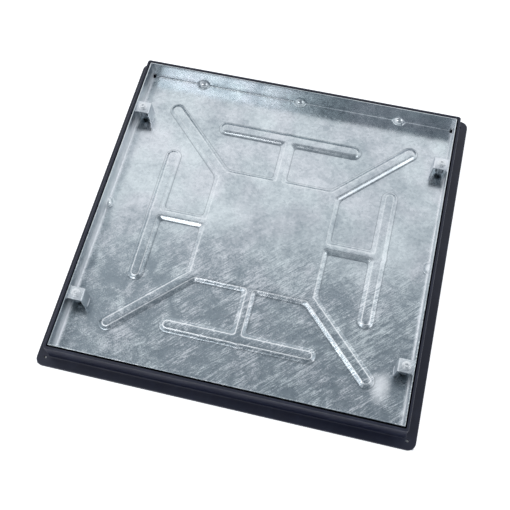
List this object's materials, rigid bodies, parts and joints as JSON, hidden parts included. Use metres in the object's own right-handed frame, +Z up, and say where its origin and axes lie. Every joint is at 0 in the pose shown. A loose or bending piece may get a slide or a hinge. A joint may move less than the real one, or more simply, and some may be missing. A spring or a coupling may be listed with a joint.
{
  "type": "recessed manhole cover",
  "caption": "Square recessed manhole cover: a galvanised steel tray with a pressed stiffening pattern and corner lifting sockets, resting loose in a flanged plastic frame.",
  "frame": {"origin": "centre of the frame's underside", "axes": "+Z up out of the ground; the square's sides run along X and Y; the front is towards -Y"},
  "size_m": [0.694, 0.694, 0.048],
  "materials": {
    "frame_plastic": "moulded satin black polypropylene",
    "galvanised_sheet": "hot-dip galvanised, spangled and lightly scuffed",
    "bracket_steel": "galvanised strip",
    "socket_steel": "zinc plated",
    "washer_steel": "zinc plated",
    "plug_steel": "zinc plated",
    "seal_rubber": "closed-cell neoprene strip"
  },
  "bodies": {
    "frame": {"frame": "frame_plastic", "seal_front": "seal_rubber", "seal_back": "seal_rubber", "seal_left": "seal_rubber", "seal_right": "seal_rubber"},
    "tray": {"tray": "galvanised_sheet", "bracket_front_left": "bracket_steel", "lifting_socket_front_left": "socket_steel", "bracket_front_right": "bracket_steel", "lifting_socket_front_right": "socket_steel", "bracket_back_left": "bracket_steel", "lifting_socket_back_left": "socket_steel", "bracket_back_right": "bracket_steel", "lifting_socket_back_right": "socket_steel"},
    "plug_front_left": {"socket_plug_front_left": "plug_steel", "plug_washer_front_left": "washer_steel"},
    "plug_front_right": {"socket_plug_front_right": "plug_steel", "plug_washer_front_right": "washer_steel"},
    "plug_back_left": {"socket_plug_back_left": "plug_steel", "plug_washer_back_left": "washer_steel"},
    "plug_back_right": {"socket_plug_back_right": "plug_steel", "plug_washer_back_right": "washer_steel"}
  },
  "joints": [
    {"name": "tray_lift", "type": "slide", "parent": "frame", "child": "tray", "axis": [0, 0, 1], "range_m": [0, 0.12]},
    {"name": "plug_draw_front_left", "type": "slide", "parent": "tray", "child": "plug_front_left", "axis": [0, 0, 1], "range_m": [0, 0.03]},
    {"name": "plug_draw_front_right", "type": "slide", "parent": "tray", "child": "plug_front_right", "axis": [0, 0, 1], "range_m": [0, 0.03]},
    {"name": "plug_draw_back_left", "type": "slide", "parent": "tray", "child": "plug_back_left", "axis": [0, 0, 1], "range_m": [0, 0.03]},
    {"name": "plug_draw_back_right", "type": "slide", "parent": "tray", "child": "plug_back_right", "axis": [0, 0, 1], "range_m": [0, 0.03]}
  ]
}
